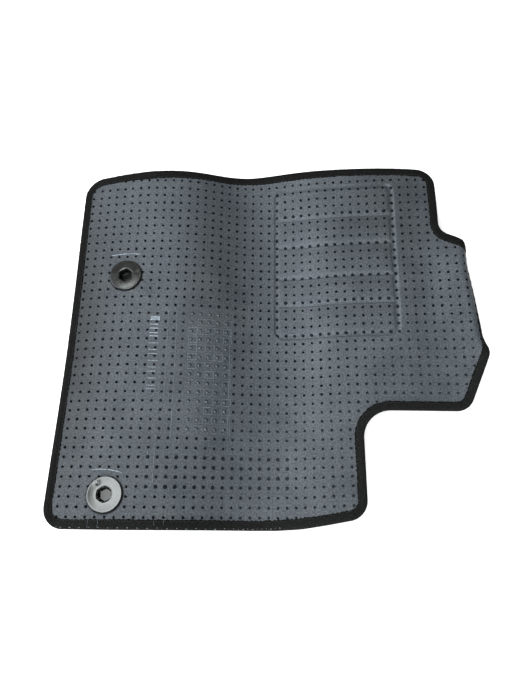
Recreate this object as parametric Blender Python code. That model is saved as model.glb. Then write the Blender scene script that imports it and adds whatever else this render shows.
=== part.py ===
"""Bound car floor mat lying carpet side down, nibbed backing up.

Millimetres while building, metres in the finished meshes.  +Z points out of the
nibbed backing, +X to the pedal edge, +Y to the notched long side.
Pattern coordinates (s, y) are distances measured along the flat mat; the mat is
then bent without stretching, so every length in the pattern stays a real length.
"""
import bmesh
import bpy
import numpy as np
from math import atan2, ceil, cos, pi, radians, sin, tan
from mathutils import Matrix, Vector

# ---------------------------------------------------------------- flat pattern
# Corners of the bound outline, counter-clockwise: (s, y, corner radius).
CORNERS = [
    (-303.5, -268.0, 28.0),
    (20.0, -269.5, 800.0),
    (122.0, -256.0, 26.0),
    (122.0, -112.0, 38.0),
    (268.5, -112.0, 25.0),
    (304.0, -26.0, 60.0),
    (303.5, 130.0, 15.0),
    (245.5, 158.0, 20.0),
    (245.5, 262.5, 28.0),
    (95.0, 266.5, 1500.0),
    (-170.0, 261.3, 800.0),
    (-298.0, 252.0, 32.0),
]

# ---------------------------------------------------------------- bent shape
# Slope of the mat across a valley line, in degrees, at distances from that line,
# for three cross-sections: far side (y=+250), middle (y=0) and near side (y=-250).
SECTION_Y = 250.0
SLOPE_AT = [-290, -215, -145, -110, -60, -22, 22, 60, 110, 180, 235, 290]
SLOPE_FAR = [8, 15, 4, -3, -18, -9, 14, 16, 9, 8, 3, -3]
SLOPE_MID = [18, 4, -0.5, -2, -19, -2, 3, 22, 10, 5, 4, 15]
SLOPE_NEAR = [11, 6, 4, -7, -14, -9, 4, 29, 15, -8, -15, -25]
SLOPE_BLUR = 15.0
VALLEY_S = (0.0, 2.0, -40.0)      # valley line: constant, linear, quadratic in y/250
RISE_FAR = 1.8                    # lift of the valley line at the far side
RISE_NEAR = 5.1                   # lift of the valley line at the near side
FOLD_START = 270.0                # the pedal edge rolls down from this line
FOLD_TURN_Y = 105.0               # nearer than this the line slants off the edge
FOLD_SLANT = 0.105
FOLD_RUNOUT = 0.010
FOLD_RADIUS = 12.0
FOLD_ANGLE = 88.0
LEG_SHORT = 3.4                   # the foot leg is drawn in by this much at its end
REAR_SHIFT = -2.2                 # the rear edge has crept towards -Y at its middle

# ---------------------------------------------------------------- layers
# Heights are measured from the visible face of the backing sheet.
EDGE_GAP = 1.4                    # tape outline to sheet edge
BACKING = (0.0, -2.2)
PRIMARY = (-2.5, -3.3)
PILE = (-3.75, -8.0)
PILE_INSET = 13.6
PAD_BOX = (1.0, -2.5, 178.0, 237.0)
PAD_RADIUS = 12.0
PAD = (-5.9, -8.0)
PAD_CLEAR = 0.4
TAPE_WIDTH = 12.6
TAPE_NOSE = 0.7
TAPE_THICK = 1.0
TAPE_GAP = 0.4
THREAD_INSET = 10.8
THREAD_RADIUS = 0.35
THREAD_GAP = 0.45

# ---------------------------------------------------------------- fixings
FIXINGS = {"rear_left": (-221.5, 86.5), "rear_right": (-224.0, -225.0)}
FLAT_MIDDLE = -223.0
FLAT_HALF = 24.5                  # the mat is stiffened flat under each disc
FLAT_BLEND = 20.0
DISC_RADIUS = 23.0
DISC_FACE = 2.5
HEX_HALF = 8.75
SOCKET_FLOOR = -5.9
CAP_FACE = -8.4
SHANK_RADIUS = 12.3
SHANK_HOLE = 12.8
PILE_HOLE = 23.6
DISC_STEPS = 36

# ---------------------------------------------------------------- mesh lines
CUT_S = [-285, -268, -247.5, -198.5, -178] + list(range(-155, 251, 22))
CUT_S += [262, 270, 275.5, 280, 284.5, 289, 293.5, 298]
CUT_Y = [-249.5, -200.5, -175, -135, -85, -40, 0]
CUT_Y += [40, 62, 111, 142, 180, 212, 238, 258]
FOLD_CUT_Y = list(range(-37, -15, 3)) + [-10, 18, 60, 90, 130]
FOLD_CUT_FROM = 264.0

ORIGIN = (-1.536, -1.553, -8.008)    # middle of the base of the finished mat

COLOURS = {
    "backing": (0.115, 0.130, 0.145, 1.0),
    "primary": (0.30, 0.29, 0.27, 1.0),
    "pile": (0.022, 0.022, 0.024, 1.0),
    "heel_pad": (0.018, 0.018, 0.019, 1.0),
    "tape": (0.014, 0.016, 0.015, 1.0),
    "thread": (0.020, 0.021, 0.020, 1.0),
    "fixing": (0.070, 0.075, 0.073, 1.0),
    "cap": (0.025, 0.025, 0.027, 1.0),
}

# ---------------------------------------------------------------- bending


def smooth(value):
    value = np.clip(value, 0.0, 1.0)
    return value * value * (3.0 - 2.0 * value)


def valley(t):
    return VALLEY_S[0] + VALLEY_S[1] * t + VALLEY_S[2] * t * t


def section_slope(u, values):
    steps = (-1.0, -0.5, 0.0, 0.5, 1.0)
    return sum(np.interp(u + k * SLOPE_BLUR, SLOPE_AT, values) for k in steps) / len(steps)


def fold_line(y):
    slant = FOLD_SLANT * np.maximum(FOLD_TURN_Y - y, 0.0)
    return FOLD_START + slant + FOLD_RUNOUT * np.maximum(-y, 0.0) ** 2


def slope(s, y):
    t = y / SECTION_Y
    u = s - valley(t)
    bend = section_slope(u, SLOPE_FAR) * t * (t + 1.0) / 2.0
    bend = bend + section_slope(u, SLOPE_MID) * (1.0 - t * t)
    bend = bend + section_slope(u, SLOPE_NEAR) * t * (t - 1.0) / 2.0
    roll = np.clip((s - fold_line(y)) / FOLD_RADIUS, 0.0, radians(FOLD_ANGLE))
    return np.radians(bend) - roll


GRID_S = np.arange(-312.0, 312.5, 0.5)
GRID_Y = np.arange(-280.0, 281.0, 2.0)


def bend_tables():
    xs, zs, th = [], [], []
    for y in GRID_Y:
        t = y / SECTION_Y
        angle = slope(GRID_S, y)
        mid = (angle[1:] + angle[:-1]) / 2.0
        x = np.concatenate([[0.0], np.cumsum(np.cos(mid) * 0.5)])
        z = np.concatenate([[0.0], np.cumsum(np.sin(mid) * 0.5)])
        spine = valley(t)
        lift = RISE_FAR * max(t, 0.0) ** 3 + RISE_NEAR * max(-t, 0.0) ** 3
        xs.append(x - np.interp(spine, GRID_S, x) + spine)
        zs.append(z - np.interp(spine, GRID_S, z) + lift)
        th.append(angle)
    return np.array(xs), np.array(zs), np.array(th)


TABLE_X, TABLE_Z, TABLE_A = bend_tables()


def sample(table, s, y):
    i = np.clip((y - GRID_Y[0]) / 2.0, 0, len(GRID_Y) - 1.001)
    j = np.clip((s - GRID_S[0]) / 0.5, 0, len(GRID_S) - 1.001)
    i0, j0 = i.astype(int), j.astype(int)
    a, b = i - i0, j - j0
    low = table[i0, j0] * (1 - b) + table[i0, j0 + 1] * b
    high = table[i0 + 1, j0] * (1 - b) + table[i0 + 1, j0 + 1] * b
    return low * (1 - a) + high * a


def creep(s, y):
    """Small sideways draw of the soft sheet, in y."""
    leg = LEG_SHORT * smooth((s - 20.0) / 100.0) * smooth((-y - 140.0) / 110.0)
    rear = REAR_SHIFT * smooth((-s - 200.0) / 110.0) * smooth(1.0 - np.abs(y + 5.0) / 150.0)
    return leg + rear


def surface(s, y):
    """Points and unit normals of the backing face at pattern positions."""
    s = np.asarray(s, float)
    y = np.asarray(y, float)
    point = np.stack([sample(TABLE_X, s, y), y + creep(s, y), sample(TABLE_Z, s, y)], -1)
    angle = sample(TABLE_A, s, y)
    dx = (sample(TABLE_X, s, y + 4.0) - sample(TABLE_X, s, y - 4.0)) / 8.0
    dz = (sample(TABLE_Z, s, y + 4.0) - sample(TABLE_Z, s, y - 4.0)) / 8.0
    normal = np.stack([-np.sin(angle), np.sin(angle) * dx - np.cos(angle) * dz, np.cos(angle)], -1)
    return point, normal / np.linalg.norm(normal, axis=-1, keepdims=True)


def fixing_frame(place):
    """Centre, two in-plane axes and the normal of the mat at a fixing."""
    s, y = np.array([place[0]]), np.array([place[1]])
    point, normal = surface(s, y)
    normal = normal[0]
    angle = sample(TABLE_A, s, y)[0]
    along = np.array([cos(angle), 0.0, sin(angle)])
    along = along - normal * along.dot(normal)
    along = along / np.linalg.norm(along)
    return point[0], along, np.cross(normal, along), normal


FRAMES = {name: fixing_frame(place) for name, place in FIXINGS.items()}


def drape(s, y, height):
    """Pattern positions at a height above the backing face, bent and flattened at fixings."""
    s = np.asarray(s, float)
    y = np.asarray(y, float)
    point, normal = surface(s, y)
    for name, place in FIXINGS.items():
        centre, along, across, up = FRAMES[name]
        reach = np.maximum(np.abs(s - FLAT_MIDDLE), np.abs(y - place[1]))
        weight = smooth(1.0 - (reach - FLAT_HALF) / FLAT_BLEND)[..., None]
        flat = centre + (s - place[0])[..., None] * along + (y - place[1])[..., None] * across
        point = point * (1.0 - weight) + flat * weight
        normal = normal * (1.0 - weight) + up * weight
    normal = normal / np.linalg.norm(normal, axis=-1, keepdims=True)
    return point + normal * np.asarray(height, float)[..., None]


# ---------------------------------------------------------------- outlines


def rounded_loop(corners, inset):
    """Corner list to a closed point list, moved inwards and filleted."""
    count = len(corners)
    base = [Vector(c[:2]) for c in corners]
    lines = []
    for k in range(count):
        a, b = base[k], base[(k + 1) % count]
        d = (b - a).normalized()
        lines.append((a + Vector((-d.y, d.x)) * inset, d))
    points = []
    for k in range(count):
        (p, d), (q, e) = lines[k - 1], lines[k]
        turn = d.x * e.y - d.y * e.x
        hit = p + d * (((q - p).x * e.y - (q - p).y * e.x) / turn)
        radius = corners[k][2] - inset if turn > 0 else corners[k][2] + inset
        radius = max(radius, 1.5)
        angle = atan2(abs(turn), d.dot(e))
        reach = radius * tan(angle / 2.0)
        side = 1.0 if turn > 0 else -1.0
        centre = hit - d * reach + Vector((-d.y, d.x)) * radius * side
        start = (hit - d * reach) - centre
        steps = max(2, ceil(angle / radians(15.0)))
        for i in range(steps + 1):
            f = side * angle * i / steps
            spoke = Vector((start.x * cos(f) - start.y * sin(f), start.x * sin(f) + start.y * cos(f)))
            points.append(tuple(centre + spoke))
    return points


def pad_corners(grow):
    left, low, right, high = PAD_BOX
    radius = PAD_RADIUS + grow
    left, low, right, high = left - grow, low - grow, right + grow, high + grow
    return [(left, low, radius), (right, low, radius), (right, high, radius), (left, high, radius)]


def split_even(face):
    """Split a four-sided cell from its low corner to its high corner, the same way in every layer."""
    if len(face.verts) == 4:
        low = min(face.verts, key=lambda v: v.co.x + v.co.y)
        high = max(face.verts, key=lambda v: v.co.x + v.co.y)
        if not any(low in e.verts and high in e.verts for e in face.edges):
            bmesh.utils.face_split(face, low, high)


def cut_plan(bm):
    """Cross the flat mesh with the pattern's lines so that it can bend."""
    for s in CUT_S:
        geometry = bm.verts[:] + bm.edges[:] + bm.faces[:]
        bmesh.ops.bisect_plane(bm, geom=geometry, dist=0.05, plane_co=(s, 0, 0), plane_no=(1, 0, 0))
    for y in CUT_Y:
        geometry = bm.verts[:] + bm.edges[:] + bm.faces[:]
        bmesh.ops.bisect_plane(bm, geom=geometry, dist=0.05, plane_co=(0, y, 0), plane_no=(0, 1, 0))
    for y in FOLD_CUT_Y:
        faces = [f for f in bm.faces if min(v.co.x for v in f.verts) > FOLD_CUT_FROM]
        edges = {e for f in faces for e in f.edges}
        verts = {v for f in faces for v in f.verts}
        geometry = list(verts) + list(edges) + faces
        bmesh.ops.bisect_plane(bm, geom=geometry, dist=0.05, plane_co=(0, y, 0), plane_no=(0, 1, 0))
    for face in bm.faces[:]:
        split_even(face)
    bmesh.ops.triangulate(bm, faces=bm.faces[:], quad_method="FIXED", ngon_method="BEAUTY")
    bm.verts.index_update()


# ---------------------------------------------------------------- mesh objects


def material(name):
    mat = bpy.data.materials.get(name)
    if mat is None:
        mat = bpy.data.materials.new(name)
        mat.use_nodes = True
        shader = mat.node_tree.nodes["Principled BSDF"]
        shader.inputs["Base Color"].default_value = COLOURS[name]
        shader.inputs["Roughness"].default_value = 0.35 if name in ("fixing", "cap") else 0.8
        mat.diffuse_color = COLOURS[name]
    return mat


def add_object(name, points, faces, look):
    mesh = bpy.data.meshes.new(name)
    mesh.from_pydata([tuple(p) for p in points], [], faces)
    mesh.update()
    bm = bmesh.new()
    bm.from_mesh(mesh)
    bmesh.ops.recalc_face_normals(bm, faces=bm.faces[:])
    bm.to_mesh(mesh)
    bm.free()
    mesh.materials.append(material(look))
    obj = bpy.data.objects.new(name, mesh)
    bpy.context.scene.collection.objects.link(obj)
    return obj


def layer(name, loop, heights, look):
    """Bent slab of even thickness under a closed outline."""
    bm = bmesh.new()
    bm.faces.new([bm.verts.new((x, y, 0.0)) for x, y in loop])
    cut_plan(bm)
    s = np.array([v.co.x for v in bm.verts])
    y = np.array([v.co.y for v in bm.verts])
    upper = drape(s, y, np.full(len(s), heights[0]))
    lower = drape(s, y, np.full(len(s), heights[1]))
    n = len(s)
    faces = []
    for f in bm.faces:
        ring = [v.index for v in f.verts]
        faces.append(ring)
        faces.append([k + n for k in reversed(ring)])
    for e in bm.edges:
        if len(e.link_faces) == 1:
            a, b = e.verts[0].index, e.verts[1].index
            faces.append([a, b, b + n])
            faces.append([a, b + n, a + n])
    bm.free()
    return add_object(name, np.concatenate([upper, lower]), faces, look)


def subtract(obj, tool):
    cut = obj.modifiers.new("cut", "BOOLEAN")
    cut.operation = "DIFFERENCE"
    cut.solver = "EXACT"
    cut.object = tool
    graph = bpy.context.evaluated_depsgraph_get()
    mesh = bpy.data.meshes.new_from_object(obj.evaluated_get(graph))
    obj.modifiers.clear()
    obj.data = mesh
    mesh.name = obj.name
    spare = tool.data
    bpy.data.objects.remove(tool)
    bpy.data.meshes.remove(spare)


def lathe(rows, steps):
    """Stack of rings to a point list and faces; a row is a function of the turn angle."""
    points = []
    for row in rows:
        points += [row(2.0 * pi * k / steps) for k in range(steps)]
    faces = []
    for r in range(len(rows) - 1):
        for k in range(steps):
            a, b = r * steps + k, r * steps + (k + 1) % steps
            faces.append([a, b, b + steps, a + steps])
    return points, faces


def circle(radius, z):
    return lambda a: (radius * cos(a), radius * sin(a), z)


def hexagon(half, z):
    def row(a):
        off = (a + pi / 6.0) % (pi / 3.0) - pi / 6.0
        r = half / cos(off)
        return (r * cos(a), r * sin(a), z)
    return row


def seat(obj, frame):
    """Move a part built round its own axis to its place on the bent mat."""
    centre, along, across, up = frame
    matrix = Matrix((
        (along[0], across[0], up[0], centre[0]),
        (along[1], across[1], up[1], centre[1]),
        (along[2], across[2], up[2], centre[2]),
        (0.0, 0.0, 0.0, 1.0),
    ))
    obj.data.transform(matrix)


def drill(obj, frame, radius, steps):
    points, faces = lathe([circle(radius, -20.0), circle(radius, 20.0)], steps)
    faces.append(list(range(steps)))
    faces.append(list(range(steps, 2 * steps)))
    tool = add_object("drill", points, faces, "cap")
    seat(tool, frame)
    subtract(obj, tool)


# ---------------------------------------------------------------- sub-parts


def build_sheets():
    edge = rounded_loop(CORNERS, EDGE_GAP)
    backing = layer("backing_sheet", edge, BACKING, "backing")
    primary = layer("primary_backing", edge, PRIMARY, "primary")
    pile = layer("carpet_pile", rounded_loop(CORNERS, PILE_INSET), PILE, "pile")
    for frame in FRAMES.values():
        drill(backing, frame, SHANK_HOLE, 32)
        drill(primary, frame, SHANK_HOLE, 32)
        drill(pile, frame, PILE_HOLE, 36)
    recess = rounded_loop(pad_corners(PAD_CLEAR), 0.0)
    subtract(pile, layer("recess", recess, (PAD[0] + 0.3, PILE[1] - 4.0), "pile"))
    layer("heel_pad", rounded_loop(pad_corners(0.0), 0.0), PAD, "heel_pad")


def build_tape():
    """Folded binding: two flanges and the nose round the sheet's edge, one closed body."""
    wall = EDGE_GAP - TAPE_GAP
    top = BACKING[0] + TAPE_GAP
    bottom = PRIMARY[1] - TAPE_GAP
    insets = [0.0, TAPE_NOSE, wall, TAPE_WIDTH]
    loops = [rounded_loop(CORNERS, inset) for inset in insets]
    bm = bmesh.new()
    rings = [[bm.verts.new((x, y, 0.0)) for x, y in loop] for loop in loops]
    count = len(loops[0])
    for k in range(3):
        for i in range(count):
            j = (i + 1) % count
            quad = bm.faces.new([rings[k][i], rings[k][j], rings[k + 1][j], rings[k + 1][i]])
            quad.material_index = k
    cut_plan(bm)
    nose = {v.index for e in bm.edges for v in e.verts
            if len(e.link_faces) == 1 and e.link_faces[0].material_index == 0}
    s = np.array([v.co.x for v in bm.verts])
    y = np.array([v.co.y for v in bm.verts])
    n = len(s)
    drop = np.array([0.6 if k in nose else 0.0 for k in range(n)])
    levels = [top + TAPE_THICK - drop, np.full(n, top), np.full(n, bottom), bottom - TAPE_THICK + drop]
    points = np.concatenate([drape(s, y, level) for level in levels])
    faces = []
    for f in bm.faces:
        ring = [v.index for v in f.verts]
        faces.append(ring)
        faces.append([k + 3 * n for k in reversed(ring)])
        if f.material_index == 2:
            faces.append([k + n for k in reversed(ring)])
            faces.append([k + 2 * n for k in ring])
    for e in bm.edges:
        a, b = e.verts[0].index, e.verts[1].index
        kinds = sorted(f.material_index for f in e.link_faces)
        walls = []
        if kinds == [0]:
            walls = [(0, 3)]
        elif kinds == [2]:
            walls = [(0, 1), (2, 3)]
        elif kinds == [1, 2]:
            walls = [(1, 2)]
        for p, q in walls:
            faces.append([a + p * n, b + p * n, b + q * n])
            faces.append([a + p * n, b + q * n, a + q * n])
    bm.free()
    obj = add_object("binding_tape", points, faces, "tape")
    bm = bmesh.new()
    bm.from_mesh(obj.data)
    bmesh.ops.delete(bm, geom=[v for v in bm.verts if not v.link_faces], context="VERTS")
    bm.to_mesh(obj.data)
    bm.free()


def cut_path(loop):
    """Add points to a closed path wherever it crosses the pattern's lines."""
    result = []
    for k, (x, y) in enumerate(loop):
        u, v = loop[(k + 1) % len(loop)]
        stops = [0.0]
        lines = [(c, x, u) for c in CUT_S] + [(c, y, v) for c in CUT_Y]
        if min(x, u) > FOLD_CUT_FROM:
            lines += [(c, y, v) for c in FOLD_CUT_Y]
        for c, a, b in lines:
            if (a - c) * (b - c) < 0:
                stops.append((c - a) / (b - a))
        for f in sorted(stops):
            point = (x + (u - x) * f, y + (v - y) * f)
            if not result or (Vector(point) - Vector(result[-1])).length > 0.8:
                result.append(point)
    return result


def build_thread(name, height):
    """Line of stitching as one thin closed band, three-sided in section."""
    path = cut_path(rounded_loop(CORNERS, THREAD_INSET))
    count = len(path)
    inner, outer = [], []
    for k in range(count):
        a, b = Vector(path[k - 1]), Vector(path[(k + 1) % count])
        d = (b - a).normalized()
        side = Vector((-d.y, d.x)) * THREAD_RADIUS
        inner.append(Vector(path[k]) + side)
        outer.append(Vector(path[k]) - side)
    rows = [(inner, -THREAD_RADIUS), (path, THREAD_RADIUS), (outer, -THREAD_RADIUS)]
    points = []
    for row, off in rows:
        s = np.array([p[0] for p in row])
        y = np.array([p[1] for p in row])
        points.append(drape(s, y, np.full(count, height + off)))
    faces = []
    for r in range(3):
        q = (r + 1) % 3
        for k in range(count):
            j = (k + 1) % count
            faces.append([r * count + k, r * count + j, q * count + j])
            faces.append([r * count + k, q * count + j, q * count + k])
    add_object(name, np.concatenate(points), faces, "thread")


def build_ring(name, frame):
    """Backing-side disc: hexagonal mouth, with six sprung fingers reaching down from it."""
    rows = [
        circle(DISC_RADIUS, 0.3),
        circle(DISC_RADIUS, 1.2),
        circle(22.2, 2.1),
        circle(20.8, DISC_FACE),
        circle(12.8, DISC_FACE),
        hexagon(HEX_HALF + 0.7, DISC_FACE - 0.1),
        hexagon(HEX_HALF, DISC_FACE - 0.9),
        hexagon(HEX_HALF, 0.3),
        circle(7.2, -4.9),
        circle(8.4, -4.9),
        circle(10.0, 0.0),
        circle(11.2, 0.3),
    ]
    points, faces = lathe(rows, DISC_STEPS)
    last = (len(rows) - 1) * DISC_STEPS
    for k in range(DISC_STEPS):
        j = (k + 1) % DISC_STEPS
        faces.append([last + k, last + j, j, k])
    ring = add_object(name, points, faces, "fixing")
    for k in range(3):
        turn = radians(30.0 + 60.0 * k)
        ux, uy = cos(turn), sin(turn)
        box = []
        for z in (-6.0, -0.4):
            for a, b in ((-12, -1.1), (12, -1.1), (12, 1.1), (-12, 1.1)):
                box.append((a * ux - b * uy, a * uy + b * ux, z))
        sides = [[0, 1, 2, 3], [4, 5, 6, 7], [0, 1, 5, 4], [1, 2, 6, 5], [2, 3, 7, 6], [3, 0, 4, 7]]
        subtract(ring, add_object("slot", box, sides, "fixing"))
    seat(ring, frame)
    return ring


def build_cap(name, frame):
    """Carpet-side disc with the blind socket shank that goes through the sheets."""
    rows = [
        circle(10.5, SOCKET_FLOOR),
        circle(10.5, 0.0),
        circle(SHANK_RADIUS, 0.0),
        circle(SHANK_RADIUS, -3.6),
        circle(DISC_RADIUS, -3.6),
        circle(DISC_RADIUS, -6.6),
        circle(21.6, -7.8),
        circle(18.0, CAP_FACE),
    ]
    points, faces = lathe(rows, DISC_STEPS)
    last = (len(rows) - 1) * DISC_STEPS
    faces.append(list(range(DISC_STEPS)))
    faces.append(list(range(last, last + DISC_STEPS)))
    cap = add_object(name, points, faces, "cap")
    seat(cap, frame)


def finish():
    """Metres, base at z=0, triangles, smooth shading on the round pieces."""
    for obj in list(bpy.data.objects):
        mesh = obj.data
        mesh.transform(Matrix.Translation([-v for v in ORIGIN]))
        mesh.transform(Matrix.Scale(0.001, 4))
        bm = bmesh.new()
        bm.from_mesh(mesh)
        bmesh.ops.triangulate(bm, faces=bm.faces[:])
        bmesh.ops.recalc_face_normals(bm, faces=bm.faces[:])
        bm.to_mesh(mesh)
        bm.free()
        for face in mesh.polygons:
            face.use_smooth = obj.name.startswith("fixing")
        mesh.update()


for old in list(bpy.data.objects):
    bpy.data.objects.remove(old, do_unlink=True)

build_sheets()
build_tape()
build_thread("binding_needle_thread", BACKING[0] + TAPE_GAP + TAPE_THICK + THREAD_GAP + THREAD_RADIUS)
build_thread("binding_bobbin_thread", PRIMARY[1] - TAPE_GAP - TAPE_THICK - THREAD_GAP - THREAD_RADIUS)
for side, seat_frame in FRAMES.items():
    build_ring("fixing_ring_" + side, seat_frame)
    build_cap("fixing_cap_" + side, seat_frame)
finish()
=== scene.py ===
from math import atan2, ceil, cos, pi, radians, sin, tan

import bpy
import numpy as np
from mathutils import Euler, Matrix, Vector


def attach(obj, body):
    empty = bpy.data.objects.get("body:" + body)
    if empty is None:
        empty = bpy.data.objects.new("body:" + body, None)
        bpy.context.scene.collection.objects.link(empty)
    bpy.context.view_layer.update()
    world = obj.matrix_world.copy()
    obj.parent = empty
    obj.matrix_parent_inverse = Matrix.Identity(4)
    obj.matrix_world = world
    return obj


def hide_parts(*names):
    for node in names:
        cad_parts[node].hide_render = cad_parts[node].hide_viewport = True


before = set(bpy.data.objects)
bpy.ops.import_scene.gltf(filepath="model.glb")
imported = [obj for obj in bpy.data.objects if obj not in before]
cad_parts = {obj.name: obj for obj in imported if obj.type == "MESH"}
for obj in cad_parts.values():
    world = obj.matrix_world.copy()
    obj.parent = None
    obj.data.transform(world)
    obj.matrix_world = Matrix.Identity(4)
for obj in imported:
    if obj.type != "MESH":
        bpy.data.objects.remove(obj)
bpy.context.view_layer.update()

# ---- flat pattern
CORNERS = [
    (-303.5, -268.0, 28.0),
    (20.0, -269.5, 800.0),
    (122.0, -256.0, 26.0),
    (122.0, -112.0, 38.0),
    (268.5, -112.0, 25.0),
    (304.0, -26.0, 60.0),
    (303.5, 130.0, 15.0),
    (245.5, 158.0, 20.0),
    (245.5, 262.5, 28.0),
    (95.0, 266.5, 1500.0),
    (-170.0, 261.3, 800.0),
    (-298.0, 252.0, 32.0),
]
PITCH_S, PITCH_Y = 12.5, 12.75     # the nibs stand on this grid
FIRST_S, FIRST_Y = 3.5, 1.75

# ---- bent shape
SECTION_Y = 250.0
SLOPE_AT = [-290, -215, -145, -110, -60, -22, 22, 60, 110, 180, 235, 290]
SLOPE_FAR = [8, 15, 4, -3, -18, -9, 14, 16, 9, 8, 3, -3]
SLOPE_MID = [18, 4, -0.5, -2, -19, -2, 3, 22, 10, 5, 4, 15]
SLOPE_NEAR = [11, 6, 4, -7, -14, -9, 4, 29, 15, -8, -15, -25]
SLOPE_BLUR = 15.0
VALLEY_S = (0.0, 2.0, -40.0)
RISE_FAR = 1.8
RISE_NEAR = 5.1
FOLD_START = 270.0
FOLD_TURN_Y = 105.0
FOLD_SLANT = 0.105
FOLD_RUNOUT = 0.010
FOLD_RADIUS = 12.0
FOLD_ANGLE = 88.0
LEG_SHORT = 3.4
REAR_SHIFT = -2.2
ORIGIN = np.array((-1.536, -1.553, -8.008))    # middle of the base of the finished mat
SLOPE_REACH = 4.0                   # half the stretch in y that a normal is worked out over

# ---- fixings and pad
FIXINGS = {"rear_left": (-221.5, 86.5), "rear_right": (-224.0, -225.0)}
FLAT_MIDDLE = -223.0
FLAT_HALF = 24.5
FLAT_BLEND = 20.0
DISC_RADIUS = 23.0
PAD_BOX = (1.0, -2.5, 178.0, 237.0)
PAD_RADIUS = 12.0
BAR_Y = (44.5, 87.5, 138.0, 183.5)  # lower edges of the pad's weld bars
BAND_BOX = (-178.0, -222.0, 20.0, -171.0)
STAMP_BOX = (-176.0, -149.0, -64.0, 33.0)
WORN_FROM = -128.0                  # from here on the panel's nibs are rubbed smooth
TAPE_WIDTH = 12.6
CARPET_INSET = TAPE_WIDTH + 0.6     # the tape's lower flange covers the rest
STITCH_INSET = 10.9
STITCH_PITCH = 3.6
NEEDLE_LEVEL, BOBBIN_LEVEL = 1.05, -4.75     # heights of the two rows of stitches
TAPE_DUST = 1.3
TAPE_EDGE_SHADE = 0.25                  # how much of the tape's grey is kept along its inner edge: a painted shadow line by the stitches
GROOVE_DEPTH = 1.5


def smooth(value):
    value = np.clip(value, 0.0, 1.0)
    return value * value * (3.0 - 2.0 * value)


def valley(t):
    return VALLEY_S[0] + VALLEY_S[1] * t + VALLEY_S[2] * t * t


def section_slope(u, values):
    steps = (-1.0, -0.5, 0.0, 0.5, 1.0)
    return sum(np.interp(u + k * SLOPE_BLUR, SLOPE_AT, values) for k in steps) / len(steps)


def fold_line(y):
    slant = FOLD_SLANT * np.maximum(FOLD_TURN_Y - y, 0.0)
    return FOLD_START + slant + FOLD_RUNOUT * np.maximum(-y, 0.0) ** 2


def slope(s, y):
    t = y / SECTION_Y
    u = s - valley(t)
    bend = section_slope(u, SLOPE_FAR) * t * (t + 1.0) / 2.0
    bend = bend + section_slope(u, SLOPE_MID) * (1.0 - t * t)
    bend = bend + section_slope(u, SLOPE_NEAR) * t * (t - 1.0) / 2.0
    roll = np.clip((s - fold_line(y)) / FOLD_RADIUS, 0.0, radians(FOLD_ANGLE))
    return np.radians(bend) - roll


TABLE_STEP_S, TABLE_STEP_Y = 0.5, 2.0
GRID_S = np.arange(-312.0, 312.5, TABLE_STEP_S)
GRID_Y = np.arange(-280.0, 281.0, TABLE_STEP_Y)


def bend_tables():
    """Place and slope of the bent sheet over a grid, from walking along its slopes."""
    xs, zs, th = [], [], []
    for y in GRID_Y:
        t = y / SECTION_Y
        angle = slope(GRID_S, y)
        mid = (angle[1:] + angle[:-1]) / 2.0
        x = np.concatenate([[0.0], np.cumsum(np.cos(mid) * TABLE_STEP_S)])
        z = np.concatenate([[0.0], np.cumsum(np.sin(mid) * TABLE_STEP_S)])
        spine = valley(t)
        lift = RISE_FAR * max(t, 0.0) ** 3 + RISE_NEAR * max(-t, 0.0) ** 3
        xs.append(x - np.interp(spine, GRID_S, x) + spine)
        zs.append(z - np.interp(spine, GRID_S, z) + lift)
        th.append(angle)
    return np.array(xs), np.array(zs), np.array(th)


TABLE_X, TABLE_Z, TABLE_A = bend_tables()


def sample(table, s, y):
    """Bilinear look-up in a bend table."""
    i = np.clip((y - GRID_Y[0]) / TABLE_STEP_Y, 0, len(GRID_Y) - 1.001)
    j = np.clip((s - GRID_S[0]) / TABLE_STEP_S, 0, len(GRID_S) - 1.001)
    i0, j0 = i.astype(int), j.astype(int)
    a, b = i - i0, j - j0
    low = table[i0, j0] * (1 - b) + table[i0, j0 + 1] * b
    high = table[i0 + 1, j0] * (1 - b) + table[i0 + 1, j0 + 1] * b
    return low * (1 - a) + high * a


def creep(s, y):
    """Small sideways draw of the soft sheet, in y."""
    leg = LEG_SHORT * smooth((s - 20.0) / 100.0) * smooth((-y - 140.0) / 110.0)
    rear = REAR_SHIFT * smooth((-s - 200.0) / 110.0) * smooth(1.0 - np.abs(y + 5.0) / 150.0)
    return leg + rear


def surface(s, y):
    """Points and unit normals of the bent backing face, in millimetres."""
    point = np.stack([sample(TABLE_X, s, y), y + creep(s, y), sample(TABLE_Z, s, y)], -1)
    angle = sample(TABLE_A, s, y)
    dx, dz = ((sample(table, s, y + SLOPE_REACH) - sample(table, s, y - SLOPE_REACH)) / (2 * SLOPE_REACH)
              for table in (TABLE_X, TABLE_Z))
    normal = np.stack([-np.sin(angle), np.sin(angle) * dx - np.cos(angle) * dz, np.cos(angle)], -1)
    return point, normal / np.linalg.norm(normal, axis=-1, keepdims=True)


def fixing_frame(place):
    """Centre and axes of the flat stretch under a fixing."""
    s, y = np.array([place[0]]), np.array([place[1]])
    point, normal = surface(s, y)
    normal = normal[0]
    angle = sample(TABLE_A, s, y)[0]
    along = np.array([cos(angle), 0.0, sin(angle)])
    along = along - normal * along.dot(normal)
    along = along / np.linalg.norm(along)
    return point[0], along, np.cross(normal, along), normal


FRAMES = {name: fixing_frame(place) for name, place in FIXINGS.items()}


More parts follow.
